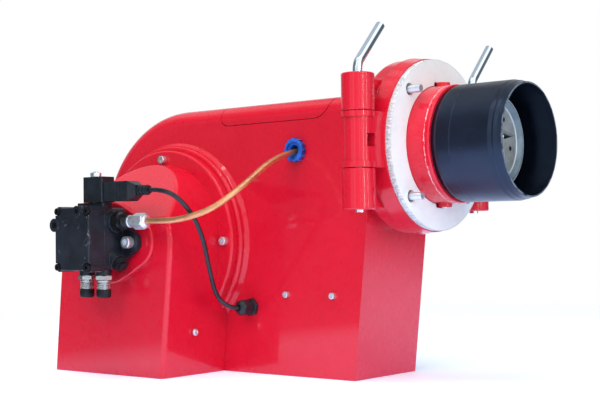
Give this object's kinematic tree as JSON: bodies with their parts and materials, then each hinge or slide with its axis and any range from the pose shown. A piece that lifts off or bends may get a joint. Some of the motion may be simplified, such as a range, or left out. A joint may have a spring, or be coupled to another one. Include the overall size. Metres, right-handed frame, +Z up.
{
  "type": "diesel burner",
  "caption": "Monoblock light-oil burner with snail-shaped fan housing, air-intake hood with gear pump and solenoid valve, hinged boiler flange, gasket and flame tube.",
  "frame": {"origin": "centre of the gasket's face that lies against the boiler, on the burner's axis", "axes": "+X along the flame tube into the boiler, +Z up, -Y the side of the air-intake hood and the pump"},
  "size_m": [0.698, 0.529, 0.4513],
  "materials": {
    "red_paint": "gloss",
    "black_casting": "satin",
    "grey_casting": "as cast",
    "zinc_steel": "zinc plated",
    "dark_steel": "blackened",
    "tube_steel": "heat-resistant black",
    "sheet_steel": "mill",
    "copper_pipe": "drawn",
    "brass_part": "machined",
    "blue_bush": "moulded",
    "black_plastic": "moulded",
    "lead_sheath": "matt",
    "gasket_fibre": "pressed fibre",
    "ceramic_white": "glazed",
    "motor_paint": "satin",
    "winding": "varnished",
    "reset_red": "gloss"
  },
  "bodies": {
    "housing": {"fan_housing": "red_paint", "pipe_bush": "blue_bush", "cable_gland": "black_plastic", "solenoid_lead": "lead_sheath", "oil_pipe": "copper_pipe", "pipe_unions": "zinc_steel", "bay_screws": "zinc_steel", "intake_hood": "red_paint", "hood_screws": "zinc_steel", "inlet_cone": "sheet_steel", "motor_housing": "grey_casting", "motor_screws": "zinc_steel", "motor_stator": "winding", "motor_bearings": "zinc_steel", "motor_rear_shield": "grey_casting", "motor_cowl": "motor_paint", "terminal_box": "black_plastic", "run_capacitor": "black_plastic", "pump_body": "black_casting", "pump_cover": "black_casting", "pump_cover_screws": "dark_steel", "pump_port_plugs": "dark_steel", "pump_screws": "zinc_steel", "regulator_cap": "dark_steel", "outlet_adapter": "dark_steel", "pump_nipples": "zinc_steel", "solenoid_stem": "zinc_steel", "solenoid_coil": "black_plastic", "solenoid_nut": "zinc_steel", "coil_plug": "black_plastic", "controls_cover": "sheet_steel", "control_box": "black_plastic", "ignition_transformer": "black_plastic", "flame_sensor": "black_plastic"},
    "head": {"boiler_flange": "red_paint", "flange_gasket": "gasket_fibre", "boiler_studs": "zinc_steel", "tube_set_screws": "zinc_steel", "flame_tube": "tube_steel", "diffuser": "sheet_steel", "head_spider": "sheet_steel", "head_carrier": "sheet_steel", "nozzle_line": "zinc_steel", "oil_nozzle": "brass_part", "electrodes": "zinc_steel", "electrode_insulators": "ceramic_white"},
    "hatch": {"inspection_hatch": "red_paint", "hatch_screws": "zinc_steel"},
    "damper": {"damper_flap": "sheet_steel", "damper_lever": "black_plastic"},
    "rotor": {"fan_wheel": "sheet_steel", "pump_coupling": "black_plastic", "pump_shaft": "dark_steel", "motor_rotor": "dark_steel", "motor_cooling_fan": "black_plastic"},
    "left_pin": {"hinge_pin_left": "zinc_steel"},
    "right_pin": {"hinge_pin_right": "zinc_steel"},
    "suction_plug": {"suction_cap": "black_plastic"},
    "return_plug": {"return_cap": "black_plastic"},
    "reset": {"reset_button": "reset_red"}
  },
  "joints": [
    {"name": "flange_swing", "type": "hinge", "parent": "housing", "child": "head", "pos_m": [-0.031, -0.133, 0], "axis": [0, 0, -1], "range_deg": [0, 100]},
    {"name": "left_pin_lift", "type": "slide", "parent": "housing", "child": "left_pin", "axis": [0, 0, 1], "range_m": [0, 0.18]},
    {"name": "right_pin_lift", "type": "slide", "parent": "housing", "child": "right_pin", "axis": [0, 0, 1], "range_m": [0, 0.18]},
    {"name": "rotor_spin", "type": "hinge", "parent": "housing", "child": "rotor", "pos_m": [-0.407, 0, -0.1195], "axis": [0, 1, 0], "continuous": true},
    {"name": "damper_turn", "type": "hinge", "parent": "housing", "child": "damper", "pos_m": [-0.42, -0.134, -0.242], "axis": [1, 0, 0], "range_deg": [0, 90]},
    {"name": "hatch_lift", "type": "slide", "parent": "housing", "child": "hatch", "axis": [0, 0, 1], "range_m": [0, 0.1]},
    {"name": "suction_cap_pull", "type": "slide", "parent": "housing", "child": "suction_plug", "axis": [0, 0, -1], "range_m": [0, 0.03]},
    {"name": "return_cap_pull", "type": "slide", "parent": "housing", "child": "return_plug", "axis": [0, 0, -1], "range_m": [0, 0.03]},
    {"name": "reset_press", "type": "slide", "parent": "housing", "child": "reset", "axis": [0, -1, 0], "range_m": [0, 0.003], "stiffness_N_per_m": 300, "springref_m": -0.002}
  ]
}
